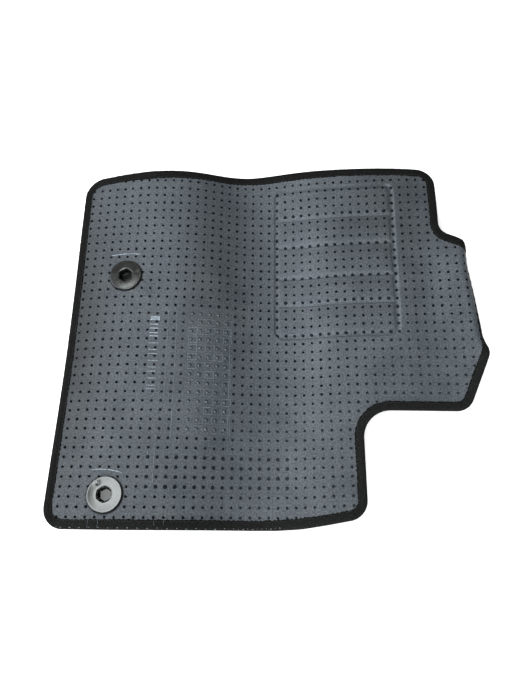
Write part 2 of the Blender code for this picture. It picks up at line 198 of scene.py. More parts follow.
def drape(s, y, height):
    """Pattern positions at a height above the backing face, bent, in metres."""
    point, normal = surface(s, y)
    for name, place in FIXINGS.items():
        centre, along, across, up = FRAMES[name]
        reach = np.maximum(np.abs(s - FLAT_MIDDLE), np.abs(y - place[1]))
        weight = smooth(1.0 - (reach - FLAT_HALF) / FLAT_BLEND)[..., None]
        flat = centre + (s - place[0])[..., None] * along + (y - place[1])[..., None] * across
        point = point * (1.0 - weight) + flat * weight
        normal = normal * (1.0 - weight) + up * weight
    normal = normal / np.linalg.norm(normal, axis=-1, keepdims=True)
    return (point + normal * height[..., None] - ORIGIN) * 0.001


# ---- outlines


def rounded_loop(corners, inset, turn_step=3.0):
    """Closed outline moved inwards, its corners rounded with a point every few degrees."""
    count = len(corners)
    base = [Vector(c[:2]) for c in corners]
    lines = []
    for a, b in zip(base, base[1:] + base[:1]):
        d = (b - a).normalized()
        lines.append((a + Vector((-d.y, d.x)) * inset, d))
    points = []
    for k in range(count):
        (p, d), (q, e) = lines[k - 1], lines[k]
        turn = d.x * e.y - d.y * e.x
        hit = p + d * (((q - p).x * e.y - (q - p).y * e.x) / turn)
        side = 1.0 if turn > 0 else -1.0
        radius = max(corners[k][2] - inset * side, 1.5)
        angle = atan2(abs(turn), d.dot(e))
        reach = radius * tan(angle / 2.0)
        centre = hit - d * reach + Vector((-d.y, d.x)) * radius * side
        start = (hit - d * reach) - centre
        steps = max(2, ceil(angle / radians(turn_step)))
        for i in range(steps + 1):
            f = side * angle * i / steps
            spoke = Vector((start.x * cos(f) - start.y * sin(f), start.x * sin(f) + start.y * cos(f)))
            points.append(tuple(centre + spoke))
    return np.array(points)


def edge_distance(s, y, loop):
    """Distance inside a closed loop, negative outside, and the nearest point on it."""
    flat_s, flat_y = np.ravel(s), np.ravel(y)
    best = np.full(flat_s.shape, 1e9)
    near = np.zeros((flat_s.size, 2))
    inside = np.zeros(flat_s.shape, bool)
    for (ax, ay), (bx, by) in zip(loop, np.roll(loop, -1, axis=0)):
        dx, dy = bx - ax, by - ay
        size = dx * dx + dy * dy
        if size < 1e-9:
            continue
        f = np.clip(((flat_s - ax) * dx + (flat_y - ay) * dy) / size, 0.0, 1.0)
        px, py = ax + f * dx, ay + f * dy
        d = np.hypot(flat_s - px, flat_y - py)
        closer = d < best
        best[closer] = d[closer]
        near[closer, 0] = px[closer]
        near[closer, 1] = py[closer]
        cross = (ay > flat_y) != (by > flat_y)
        if abs(dy) > 1e-12:
            inside ^= cross & (flat_s < ax + (flat_y - ay) * dx / dy)
    signed = np.where(inside, best, -best)
    return signed.reshape(np.shape(s)), near.reshape(np.shape(s) + (2,))


OUTLINE = rounded_loop(CORNERS, 0.0)
PAD_CORNERS = [(PAD_BOX[a], PAD_BOX[b], PAD_RADIUS) for a, b in ((0, 1), (2, 1), (2, 3), (0, 3))]
PAD_LOOP = rounded_loop(PAD_CORNERS, 0.0, 6.0)


def loop_path(loop, step):
    """Even points along a closed loop, with inward normals and distance travelled."""
    closed = np.vstack([loop, loop[:1]])
    gaps = np.hypot(*np.diff(closed, axis=0).T)
    keep = np.concatenate([[True], gaps > 1e-6])
    closed = closed[keep]
    run = np.concatenate([[0.0], np.cumsum(np.hypot(*np.diff(closed, axis=0).T))])
    count = int(round(run[-1] / step))
    at = np.arange(count) * run[-1] / count
    s = np.interp(at, run, closed[:, 0])
    y = np.interp(at, run, closed[:, 1])
    ds = np.roll(s, -1) - np.roll(s, 1)
    dy = np.roll(y, -1) - np.roll(y, 1)
    size = np.hypot(ds, dy)
    return s, y, -dy / size, ds / size, at


# ---- noise


def value_noise(s, y, cell, seed):
    """Smooth repeatable noise from 0 to 1."""
    u, v = np.asarray(s) / cell, np.asarray(y) / cell
    i, j = np.floor(u).astype(int), np.floor(v).astype(int)
    a, b = smooth(u - i), smooth(v - j)

    def corner(p, q):
        h = np.sin(p * 127.1 + q * 311.7 + seed * 74.7) * 43758.5453
        return h - np.floor(h)

    low = corner(i, j) * (1 - a) + corner(i + 1, j) * a
    high = corner(i, j + 1) * (1 - a) + corner(i + 1, j + 1) * a
    return low * (1 - b) + high * b


# ---- materials


def new_material(name):
    mat = bpy.data.materials.new(name)
    mat.use_nodes = True
    tree = mat.node_tree
    return mat, tree, tree.nodes["Principled BSDF"]


def wire(node, values):
    """Set a node's inputs, each to a value or from another node's output."""
    for key, value in values.items():
        if hasattr(value, "is_linked"):
            node.id_data.links.new(value, node.inputs[key])
        else:
            node.inputs[key].default_value = value


def node_after(kind, *values):
    """New node in the tree that the first socket among the values belongs to."""
    return next(v for v in values if hasattr(v, "is_linked")).id_data.nodes.new(kind)


def noise(tree, scale, detail=3.0, rough=0.55, source=None):
    made = tree.nodes.new("ShaderNodeTexNoise")
    if source is None:
        source = tree.nodes.new("ShaderNodeTexCoord").outputs["Object"]
    wire(made, {"Scale": scale, "Detail": detail, "Roughness": rough, "Vector": source})
    return made.outputs["Fac"]


def ramp(value, stops):
    made = node_after("ShaderNodeValToRGB", value)
    points = made.color_ramp.elements
    while len(points) < len(stops):
        points.new(0.5)
    for point, (place, colour) in zip(points, stops):
        point.position = place
        point.color = tuple(colour) + (1.0,)
    wire(made, {"Fac": value})
    return made.outputs["Color"]


def mix(factor, a, b, blend="MIX"):
    made = node_after("ShaderNodeMix", factor, a, b)
    made.data_type = "RGBA"
    made.blend_type = blend
    wire(made, {0: factor, 6: a, 7: b})
    return made.outputs[2]


def multiply(a, b):
    return mix(1.0, a, b, "MULTIPLY")


def calc(kind, a, b=0.0):
    made = node_after("ShaderNodeMath", a, b)
    made.operation = kind
    wire(made, {0: a, 1: b})
    return made.outputs[0]


def bump(shader, height, strength, distance):
    made = node_after("ShaderNodeBump", height)
    wire(made, {"Strength": strength, "Distance": distance, "Height": height})
    wire(shader, {"Normal": made.outputs["Normal"]})


def attribute(tree, name):
    made = tree.nodes.new("ShaderNodeAttribute")
    made.attribute_name = name
    return made


def pattern_coords(tree):
    return tree.nodes.new("ShaderNodeUVMap").outputs["UV"]


def grey(level, tint=(1.0, 1.0, 1.0)):
    return tuple(level * t for t in tint)


COOL = (0.84, 1.0, 1.14)            # the compound's bluish tint
# near black painted onto the nibs as painted shade: the nibs are of the sheet's own grey compound
NIB_SHADE_BLACK = (0.0020, 0.0027, 0.0042, 1.0)
FLECK = (0.26, 0.31, 0.36, 1.0)
WEAVE_PITCH = 0.0011
# (amount, s, reach in s, y, reach in y) of each slow change in the compound's grey
TONE_PATCHES = (
    (-0.60, -292.0, 42.0, 0.0, 190.0),     # painted shade along the rear edge, by its curved rim and tape
    (-0.24, -95.0, 60.0, 110.0, 190.0),    # darker moulded panel and the valley beside it
    (0.18, -165.0, 28.0, 110.0, 130.0),
    (0.20, 35.0, 38.0, 60.0, 170.0),
    (-0.34, 185.0, 75.0, 225.0, 120.0),    # darker far corner
    (-0.12, 203.0, 18.0, 60.0, 120.0),
    (0.22, 243.0, 15.0, 95.0, 60.0),       # lighter where the pedal edge starts to roll
)
DISC_PAINTED_SHADOW = (0.9, -0.9, 24.4)               # offset and radius of the painted shadow round a disc, shifted to its lower right


def sheet_tone(s, y):
    """How much of the compound's plain grey is kept, over the mat, with painted light and shade at the heel
    pad's welds and a painted shadow round each disc.
    """
    tone = np.ones(np.shape(s))
    for amount, mid_s, reach_s, mid_y, reach_y in TONE_PATCHES:
        tone = tone + amount * np.exp(-((s - mid_s) / reach_s) ** 2 - ((y - mid_y) / reach_y) ** 2)
    depth, _ = edge_distance(s, y, PAD_LOOP)
    inside = smooth(depth / 6.0)
    # painted light on a strip above each weld bar's lower edge and painted shade just below it
    for low in BAR_Y + (PAD_BOX[1],):
        v = y - low
        painted_lit_strip = smooth((v - 1.5) / 2.0) * (1.0 - smooth((v - 7.0) / 6.0))
        shade = smooth(-v / 2.0) * (1.0 - smooth((-v - 3.0) / 24.0))
        tone = tone + inside * (0.15 * painted_lit_strip - 0.16 * shade)
    # painted light along the heel pad's right rim
    painted_light_right_rim = (1.0 - smooth(np.abs(depth + 2.4) / 3.6)) * smooth((s - PAD_BOX[2] + 8.0) / 4.0)
    tone = tone + 0.42 * painted_light_right_rim
    # painted shadow round each disc, its ring shifted to the lower right
    for cs, cy in FIXINGS.values():
        gap = np.hypot(s - cs - DISC_PAINTED_SHADOW[0], y - cy - DISC_PAINTED_SHADOW[1]) - DISC_PAINTED_SHADOW[2]
        tone = tone * (0.12 + 0.88 * smooth(gap / 1.6 + 0.5))
    return tone


def backing_material(name, low, high, with_shade, rough=0.62, specular=0.25):
    mat, tree, shader = new_material(name)
    coords = pattern_coords(tree)
    grain = noise(tree, 420.0, 2.0, 0.6, coords)
    cloud = noise(tree, 22.0, 4.0, 0.6, coords)
    base = ramp(grain, [(0.36, grey(low, COOL)), (0.62, grey(high, COOL))])
    tint = ramp(cloud, [(0.34, (0.86, 0.87, 0.88)), (0.66, (1.15, 1.13, 1.11))])
    fleck = noise(tree, 520.0, 2.0, 0.6, coords)
    fleck = ramp(fleck, [(0.64, grey(0.0)), (0.76, grey(0.45))])
    colour = mix(fleck, multiply(base, tint), FLECK)
    colour = multiply(colour, attribute(tree, "tone").outputs["Color"])
    # the shade attribute mixes the nibs' painted shade into their colour
    if with_shade:
        colour = mix(attribute(tree, "shade").outputs["Fac"], NIB_SHADE_BLACK, colour)
    wire(shader, {"Base Color": colour, "Roughness": rough, "Specular IOR Level": specular})
    bump(shader, noise(tree, 900.0, 2.0, 0.5, coords), 0.35, 0.0004)
    return mat


def tape_material():
    mat, tree, shader = new_material("woven_tape")
    coords = pattern_coords(tree)
    split = node_after("ShaderNodeSeparateXYZ", coords)
    wire(split, {0: coords})
    warp, weft = (calc("SINE", calc("MULTIPLY", split.outputs[k], 2 * pi / WEAVE_PITCH)) for k in range(2))
    weave = calc("MULTIPLY", warp, weft)
    weave = calc("MULTIPLY", calc("ADD", weave, 1.0), 0.5)
    speck = noise(tree, 520.0, 3.0, 0.75, coords)
    base = ramp(speck, [(0.38, (0.0014, 0.0017, 0.0016)), (0.56, (0.0044, 0.0049, 0.0046)),
                              (0.74, (0.017, 0.018, 0.017))])
    # the colour follows the weave's height: darker in the hollows between threads as painted shade
    woven = multiply(base, ramp(weave, [(0.0, grey(0.62)), (1.0, grey(1.25))]))
    colour = multiply(woven, attribute(tree, "tone").outputs["Color"])
    wire(shader, {"Base Color": colour, "Roughness": 0.85, "Specular IOR Level": 0.15})
    bump(shader, weave, 0.6, 0.0004)
    return mat


def pile_material():
    mat, tree, shader = new_material("cut_pile")
    coords = pattern_coords(tree)
    cells = tree.nodes.new("ShaderNodeTexVoronoi")
    wire(cells, {"Scale": 460.0, "Vector": coords})
    tuft = calc("SUBTRACT", 1.0, cells.outputs["Distance"])
    fibre = noise(tree, 1500.0, 2.0, 0.7, coords)
    patch = noise(tree, 22.0, 3.0, 0.6, coords)
    height = calc("ADD", tuft, calc("MULTIPLY", fibre, 0.5))
    level = calc("MULTIPLY", calc("SUBTRACT", height, 0.6), 1.4)
    # the colour follows the tuft height: darker down between the tufts as painted shade
    base = ramp(level, [(0.15, (0.002, 0.002, 0.0022)), (0.55, (0.011, 0.011, 0.012)),
                              (0.90, (0.038, 0.038, 0.040))])
    colour = multiply(base, ramp(patch, [(0.3, grey(0.8)), (0.7, grey(1.25))]))
    wire(shader, {"Base Color": colour, "Roughness": 0.95, "Sheen Weight": 0.10,
                        "Specular IOR Level": 0.10})
    bump(shader, height, 0.9, 0.0013)
    return mat


def plastic_material(name, low, high, rough, specular):
    mat, tree, shader = new_material(name)
    cloud = noise(tree, 60.0, 3.0)
    grain = noise(tree, 900.0, 2.0)
    smear = noise(tree, 160.0, 3.0, 0.6)
    wire(shader, {
        "Base Color": ramp(cloud, [(0.3, grey(low, (0.99, 1.0, 0.97))),
                                         (0.7, grey(high, (0.99, 1.0, 0.98)))]),
        "Roughness": ramp(cloud, [(0.3, grey(rough - 0.03)), (0.7, grey(rough + 0.04))]),
        "Specular IOR Level": specular,
        "Specular Tint": (0.93, 1.0, 0.99, 1.0),
    })
    height = calc("ADD", calc("MULTIPLY", grain, 0.12), smear)
    bump(shader, height, 0.5, 0.00009)
    return mat


def plain_material(name, inputs, relief=None):
    """Look from values and from lists: a noise's settings, then the stops of a ramp over it."""
    mat, tree, shader = new_material(name)
    for key, value in inputs.items():
        if isinstance(value, list):
            value = ramp(noise(tree, *value[0]), value[1:])
        wire(shader, {key: value})
    if relief:
        settings, strength, distance = relief
        bump(shader, noise(tree, *settings), strength, distance)
    return mat


def scuff_material(name, low, high):
    return plain_material(name, {
        "Base Color": [(260.0, 3.0, 0.7), (0.38, grey(low, COOL)), (0.60, grey(high, COOL))],
        "Roughness": 0.7})


# ---- mesh pieces


def add_object(name, data):
    obj = bpy.data.objects.new(name, data)
    bpy.context.scene.collection.objects.link(obj)
    return obj


def new_mesh(name, points, faces, mat):
    mesh = bpy.data.meshes.new(name)
    mesh.from_pydata(points, [], faces)
    mesh.update()
    mesh.materials.append(mat)
    return mesh


def add_piece(name, points, faces, mat, slot, smooth_shade=True, uv=None, shade=None, tone=None):
    mesh = new_mesh(name, points, faces, mat)
    if smooth_shade:
        mesh.polygons.foreach_set("use_smooth", [True] * len(mesh.polygons))
    if uv is not None:
        corner = np.empty(len(mesh.loops), int)
        mesh.loops.foreach_get("vertex_index", corner)
        layer = mesh.uv_layers.new(name="pattern")
        layer.data.foreach_set("uv", np.ascontiguousarray(uv[corner] * 0.001, dtype=np.float32).ravel())
    for label, values in (("shade", shade), ("tone", tone)):
        if values is not None:
            layer = mesh.attributes.new(label, "FLOAT", "POINT")
            layer.data.foreach_set("value", np.asarray(values, np.float32))
    obj = add_object(name, mesh)
    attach(obj, "root")
    return obj


def row_faces(rows, count, around=True, wrap=False):
    """Quads between rows of points; around joins a row's ends, wrap the last row to the first."""
    faces = []
    for r in range(rows if wrap else rows - 1):
        a, b = r * count, (r + 1) % rows * count
        for k in range(count if around else count - 1):
            j = (k + 1) % count
            faces.append([a + k, a + j, b + j, b + k])
    return faces


def bar_faces(rows, count):
    """Faces of a bar whose rows of points run along it, with both of its ends."""
    ends = [[r * count for r in range(rows)], [r * count + count - 1 for r in reversed(range(rows))]]
    return row_faces(rows, count, False, True) + ends


def end_faces(rows, count):
    """The first and the last ring of a turned body, filled."""
    return [list(reversed(range(count))), [(rows - 1) * count + k for k in range(count)]]


def grid_lines(extent, fine):
    """Even lines, packed closer round each place listed in fine."""
    lines = list(np.arange(-extent, extent + GRID_STEP, GRID_STEP))
    for place, reach, gap in fine:
        lines = [v for v in lines if abs(v - place) > reach + 0.3 * gap]
        lines += list(np.arange(place - reach, place + reach + 0.01, gap))
    lines = np.array(sorted(lines))
    return lines[np.concatenate([[True], np.diff(lines) > 0.25])]


def closed_sheet(name, s, y, heights, index, used, mat, slot, tone=None):
    """Sheet with an upper and a lower face over the used grid cells, and a wall round them."""
    count = len(s)
    i, j = np.nonzero(used)
    quads = np.stack([index[i, j], index[i + 1, j], index[i + 1, j + 1], index[i, j + 1]], 1)
    edges = np.concatenate([quads[:, [0, 1]], quads[:, [1, 2]], quads[:, [2, 3]], quads[:, [3, 0]]])
    key = edges[:, 0] * count + edges[:, 1]
    back = edges[:, 1] * count + edges[:, 0]
    border = edges[~np.isin(key, back)]
    wall = np.stack([border[:, 1], border[:, 0], border[:, 0] + count, border[:, 1] + count], 1)
    faces = np.concatenate([quads, quads[:, ::-1] + count, wall])
    points = np.concatenate([drape(s, y, height) for height in heights])
    uv = np.tile(np.stack([s, y], 1), (2, 1))
    return add_piece(name, points, faces.tolist(), mat, slot, True, uv, None, tone)


def grid_piece(name, inset, fine_s, fine_y, hole, top, bottom, mat, slot):
    """Closed sheet on a grid, drawn onto the outline at an inset and onto the fixings' holes."""
    s, y = np.meshgrid(grid_lines(GRID_REACH_S, fine_s), grid_lines(GRID_REACH_Y, fine_y), indexing="ij")
    depth, near = edge_distance(s, y, rounded_loop(CORNERS, inset))
    for cs, cy in FIXINGS.values():
        reach = np.hypot(s - cs, y - cy)
        gap = reach - hole
        pull = gap < depth
        near[pull, 0] = (cs + (s - cs) / np.maximum(reach, 1e-6) * hole)[pull]
        near[pull, 1] = (cy + (y - cy) / np.maximum(reach, 1e-6) * hole)[pull]
        depth = np.minimum(depth, gap)
    inside = depth > 0.0
    halves = (slice(None, -1), slice(1, None))
    used = sum(inside[a, b].astype(int) for a in halves for b in halves) >= 3
    mark = np.zeros(s.shape, bool)
    for a in halves:
        for b in halves:
            mark[a, b] |= used
    rim = mark & (depth < GRID_STEP * 0.35)
    s = np.where(rim, near[..., 0], s)[mark]
    y = np.where(rim, near[..., 1], y)[mark]
    index = -np.ones(mark.shape, int)
    index[mark] = np.arange(mark.sum())
    return closed_sheet(name, s, y, (top(s, y), bottom(s, y)), index, used, mat, slot,
                        np.tile(sheet_tone(s, y), 2))


def weld_relief(s, y):
    """Height of the backing over the heel pad, with its weld grooves."""
    depth, _ = edge_distance(s, y, PAD_LOOP)
    outer = 2.6 + 3.0 * smooth((s - PAD_BOX[2] + 6.0) / 4.0)
    v = depth + outer
    groove = smooth(v / outer) * (1.0 - smooth((v - outer - 1.5) / 5.0))
    inside = smooth((depth - 1.0) / 5.0)
    for low in BAR_Y:
        v = y - low
        bar = smooth(v / 2.4) * (1.0 - smooth((v - 2.8) / 7.0))
        groove = np.maximum(groove, bar * inside)
    return 0.35 * smooth(depth / 8.0) - GROOVE_DEPTH * groove


def box_mask(s, y, box, soft):
    gap = np.minimum.reduce([s - box[0], box[2] - s, y - box[1], box[3] - y])
    return smooth(gap / soft + 0.5)


def backing_top(s, y):
    height = np.zeros_like(s)
    close = (s > -12) & (s < 192) & (y > -16) & (y < 250)
    height[close] = weld_relief(s[close], y[close])
    height -= 0.45 * box_mask(s, y, BAND_BOX, 3.0)
    height -= 0.35 * box_mask(s, y, STAMP_BOX, 3.0)
    for cs, cy in FIXINGS.values():
        height -= 0.9 * (1.0 - smooth((np.hypot(s - cs, y - cy) - DISC_RADIUS) / 2.6))
    height += 0.5 * (value_noise(s, y, 34.0, 3) - 0.5) + 0.22 * (value_noise(s, y, 11.0, 5) - 0.5)
    return height


def flat_height(level):
    return lambda s, y: np.full(s.shape, level)


def tuft_bottom(s, y):
    depth, _ = edge_distance(s, y, rounded_loop(CORNERS, CARPET_INSET))
    height = -4.9 - 2.7 * smooth(depth / 3.0)
    pad, _ = edge_distance(s, y, PAD_LOOP)
    height += 1.8 * smooth((pad + 2.0) / 3.0)
    rough = value_noise(s, y, 6.0, 11) + 0.6 * value_noise(s, y, 14.0, 12)
    return height + (rough - 0.8) * 0.5 * smooth(depth / 2.0)


GRID_STEP = 2.5
GRID_REACH_S, GRID_REACH_Y = 305.0, 271.0
BACKING_INSET, BACKING_FOOT, BACKING_HOLE = 1.8, -2.2, 12.0
CARPET_TOP, CARPET_HOLE = -2.6, 23.4
# grid lines are packed closer here: place, reach and gap
FINE_DISC_S = [(FLAT_MIDDLE, 27.0, 1.0)]
FINE_DISC_Y = [(place[1], 26.0, 1.0) for place in FIXINGS.values()]


def build_backing(mat):
    fine_s = [(PAD_BOX[k], 6.0, 0.8) for k in (0, 2)] + FINE_DISC_S
    fine_y = [(PAD_BOX[k], 6.0, 0.8) for k in (1, 3)]
    fine_y += [(low + 2.0, 5.0, 0.7) for low in BAR_Y if low < 50 or low > 110] + FINE_DISC_Y
    sheet = grid_piece("nibbed_backing", BACKING_INSET, fine_s, fine_y, BACKING_HOLE, backing_top,
                       flat_height(BACKING_FOOT), mat, "backing")
    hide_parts("backing_sheet")
    return sheet


def build_carpet(mat):
    pile = grid_piece("tufted_carpet", CARPET_INSET, FINE_DISC_S, FINE_DISC_Y, CARPET_HOLE,
                      flat_height(CARPET_TOP), tuft_bottom, mat, "pile")
    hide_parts("carpet_pile", "primary_backing")
    return pile


# ---- nibs


def in_box(s, y, box):
    return (s > box[0]) & (s < box[2]) & (y > box[1]) & (y < box[3])


def nib_places():
    """Every grid place that has a nib, in the flat pattern."""
    s, y = np.meshgrid(FIRST_S + PITCH_S * np.arange(-26, 26), FIRST_Y + PITCH_Y * np.arange(-22, 22),
                       indexing="ij")
    s, y = s.ravel(), y.ravel()
    depth, _ = edge_distance(s, y, OUTLINE)
    keep = depth > TAPE_WIDTH - 0.6
    for cs, cy in FIXINGS.values():
        keep &= np.hypot(s - cs, y - cy) > DISC_RADIUS + 0.6
    return s[keep], y[keep]


def is_worn(s, y):
    return in_box(s, y, STAMP_BOX) & (s > WORN_FROM)


def is_pressed(s, y):
    """Nibs flattened by the heel pad's welds or moulded low in the panel."""
    pressed = in_box(s, y, BAND_BOX)
    pressed |= in_box(s, y, STAMP_BOX) & (s < WORN_FROM)
    depth, _ = edge_distance(s, y, PAD_LOOP)
    rim = np.abs(depth) < 5.0
    pressed |= rim & ((s < 12) | (s > 170) | (y < 8) | ((y > 228) & (s < 60)))
    for low in BAR_Y:
        pressed |= (depth > 0) & (y > low) & (y < low + 11.5)
    return pressed


# a nib's turned profile: radius, height and how much of the sheet's grey each ring keeps; the rest is
# painted near black as painted shade, over all of a free nib and on the sides and base of the pressed and
# worn ones
FREE_NIB = ((1.92, 0.0, 0.20), (1.82, 0.35, 0.0), (1.55, 0.95, 0.0), (1.05, 1.40, 0.0),
            (0.50, 1.62, 0.02))
PRESSED_NIB = ((2.45, 0.0, 0.20), (2.35, 0.50, 0.0), (2.00, 0.90, 0.02), (1.40, 0.95, 0.10),
               (0.70, 0.85, 0.16))
WORN_NIB = ((2.60, 0.0, 0.80), (2.45, 0.25, 0.42), (1.90, 0.75, 0.60), (1.20, 1.10, 0.90),
            (0.50, 1.25, 1.0))
STAMP_SWELL = 0.80                  # the panel's own dark nibs are smaller than the other pressed ones
NIB_SIDES = 10
NIB_ROOT, NIB_CROWN = 0.25, 0.08    # how far a nib starts below the face and rises over its last ring


def nib_fade(s, y):
    """How far the nibs' painted shade is lightened: more on the right and on the near side."""
    right = 0.22 * smooth((s - 90.0) / 90.0) * smooth((40.0 - y) / 80.0)
    near = 0.20 * smooth((-y - 60.0) / 80.0) * smooth((s + 120.0) / 110.0)
    return np.minimum(right + near, 0.30)


def build_nibs(name, places, profile, lean, mat, rng, swell=1.0):
    """One turned nib at each place, leaning and sized a little at random."""
    s, y = places
    count = len(s)
    base = backing_top(s, y)
    scale = swell * (1.0 + rng.normal(0.0, 0.05, count))
    lean_s, lean_y = rng.normal(0.0, lean, count), rng.normal(0.0, lean, count)
    s = s + rng.normal(0.0, 0.12, count)
    y = y + rng.normal(0.0, 0.12, count)
    low = scale * np.where(s > fold_line(y) - 6.0, 0.35, 1.0)
    turn = 2 * pi * np.arange(NIB_SIDES) / NIB_SIDES
    top = profile[-1][1]
    fade = nib_fade(*places)
    columns, shades = [], []
    for radius, height, keep in profile:
        f = height / top
        rs = (s + lean_s * f)[:, None] + radius * scale[:, None] * np.cos(turn)
        ry = (y + lean_y * f)[:, None] + radius * scale[:, None] * np.sin(turn)
        level = height * low + base - (NIB_ROOT if height == 0 else 0.0)
        columns.append((rs, ry, np.broadcast_to(level[:, None], rs.shape)))
        shade = (keep + (1.0 - keep) * fade)[:, None]
        shades.append(np.tile(shade, NIB_SIDES))
    tip = (s + lean_s, y + lean_y, (top + NIB_CROWN) * low + base)
    columns.append(tuple(v[:, None] for v in tip))
    shades.append(shade)
    block = [np.concatenate([c[axis] for c in columns], 1).ravel() for axis in range(3)]
    local = row_faces(len(profile), NIB_SIDES)
    per = NIB_SIDES * len(profile) + 1
    foot, rim = end_faces(len(profile), NIB_SIDES)
    local += [[rim[k], rim[(k + 1) % NIB_SIDES], per - 1] for k in range(NIB_SIDES)] + [foot]
    faces = [[v + n * per for v in face] for n in range(count) for face in local]
    return add_piece(name, drape(*block), faces, mat, "backing", True, np.stack(block[:2], 1),
                     np.concatenate(shades, 1).ravel(), sheet_tone(*block[:2]))


# ---- binding


def tape_dust(s, y):
    """The near and right-hand stretches of the tape carry more dust, so they are paler."""
    near = smooth((-235.0 - y) / 16.0) * smooth((s + 290.0) / 12.0)
    notch = smooth((s - 85.0) / 30.0) * smooth((30.0 - y) / 60.0)
    return 1.0 + TAPE_DUST * np.maximum(near, notch)


# the tape's section, from its inner top edge round the rim and back: share of its width,
# height and which side it is on
EDGE, TOP, LOW = range(3)
TAPE_SECTION = (
    (1.0, 0.10, TOP), (0.985, 0.62, TOP), (0.93, 0.95, TOP), (0.86, 1.00, TOP), (0.80, 0.92, TOP),
    (0.72, 1.10, TOP), (0.62, 1.32, TOP), (0.52, 1.42, TOP), (0.42, 1.46, TOP), (0.32, 1.45, TOP),
    (0.22, 1.38, TOP), (0.13, 1.15, TOP), (0.06, 0.70, TOP), (0.02, 0.0, EDGE), (0.0, -0.9, EDGE),
    (0.0, -2.4, EDGE), (0.02, -3.4, EDGE), (0.06, -4.2, EDGE), (0.13, -4.7, LOW), (0.25, -4.95, LOW),
    (0.45, -5.0, LOW), (0.65, -4.9, LOW), (0.80, -4.55, LOW), (0.90, -4.65, LOW), (0.985, -4.45, LOW),
    (1.0, -3.8, LOW), (0.6, -3.75, LOW), (0.14, -3.7, LOW), (0.14, 0.02, TOP), (0.6, 0.02, TOP))


def build_tape(mat):
    """Folded woven tape with an uneven inner edge, pulled down by its stitches."""
    s, y, ns, ny, run = loop_path(OUTLINE, 1.6)
    ragged = 0.45 * np.sin(run * 2 * pi / 6.1) + 1.1 * (value_noise(run, run * 0, 2.6, 21) - 0.5)
    ragged += 1.0 * (value_noise(run, run * 0, 42.0, 22) - 0.5) - 0.9 * smooth((-s - 282.0) / 12.0)
    ragged_low = 0.4 * np.sin(run * 2 * pi / 5.7 + 1.0) + 0.6 * (value_noise(run, run * 0, 3.1, 23) - 0.5)
    points, uv, dust = [], [], []
    across, previous = 0.0, None
    for f, height, side in TAPE_SECTION:
        depth = f * (TAPE_WIDTH + (ragged_low if side == LOW else ragged))
        rs, ry = s + ns * depth, y + ny * depth
        here = np.array([f * TAPE_WIDTH, height])
        if previous is not None:
            across += float(np.hypot(*(here - previous)))
        previous = here
        level = np.full(len(s), height)
        if side == TOP and height > 0.5:
            # the nibs underneath show through as soft lumps
            near_s = (rs - FIRST_S + PITCH_S / 2) % PITCH_S - PITCH_S / 2
            near_y = (ry - FIRST_Y + PITCH_Y / 2) % PITCH_Y - PITCH_Y / 2
            level = level + 0.75 * np.exp(-(near_s ** 2 + near_y ** 2) / 2.3 ** 2)
            level = level + 0.35 * (value_noise(rs, ry, 9.0, 31) - 0.5) * (1.0 - f)
        points.append(drape(rs, ry, level))
        uv.append(np.stack([run, np.full(len(s), across)], 1))
        # dust, times painted shade on the rows along the inner edge
        dust.append(tape_dust(rs, ry) * (TAPE_EDGE_SHADE if f > 0.85 else 1.0))
    faces = [face[::-1] for face in row_faces(len(points), len(s), wrap=True)]
    tape = add_piece("binding_cover", np.concatenate(points), faces, mat, "tape", True,
                     np.concatenate(uv), None, np.concatenate(dust))
    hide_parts("binding_tape")


THREAD_RADIUS, THREAD_SIDES, STITCH_RINGS = 0.34, 6, 6
STITCH_LENGTH = STITCH_PITCH * 0.80


def build_stitches(name, node_name, level, mat):
    """Row of single lockstitches sunk at both ends into the tape."""
    loop = rounded_loop(CORNERS, STITCH_INSET)
    s, y, ns, ny, _ = loop_path(loop, STITCH_PITCH)
    turn = 2 * pi * np.arange(THREAD_SIDES) / THREAD_SIDES
    sign = 1.0 if level > 0 else -1.0
    rings = []
    for k in range(STITCH_RINGS):
        f = k / (STITCH_RINGS - 1)
        along = (f - 0.5) * STITCH_LENGTH
        arch = sin(pi * f)
        size = THREAD_RADIUS * (0.35 + 0.65 * arch ** 0.5)
        side = size * np.cos(turn)
        rs = s[:, None] + ny[:, None] * along + ns[:, None] * side
        ry = y[:, None] - ns[:, None] * along + ny[:, None] * side
        rh = np.broadcast_to(level + sign * 0.30 * (arch - 1.0) + size * np.sin(turn), rs.shape)
        rings.append(np.stack([rs, ry, rh], -1))
    block = np.concatenate(rings, 1).reshape(-1, 3)
    local = row_faces(STITCH_RINGS, THREAD_SIDES) + end_faces(STITCH_RINGS, THREAD_SIDES)
    per = THREAD_SIDES * STITCH_RINGS
    faces = [[v + n * per for v in face] for n in range(len(s)) for face in local]
    row = add_piece(name, drape(*block.T), faces, mat, "thread")
    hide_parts(node_name)


# inset and height of the lap's section
LAP_SECTION = ((13.2, 0.30), (13.1, 1.15), (11.0, 1.55), (6.5, 1.95), (2.0, 1.80), (0.6, 1.05),
               (0.0, 0.0), (-0.35, -1.8), (0.1, -4.3), (1.2, -5.25), (6.5, -5.5), (12.8, -5.0),
               (12.8, -4.0), (0.9, -4.4), (0.3, -1.8), (0.9, 0.5))
LAP_FROM, LAP_TO = -209.5, -185.4


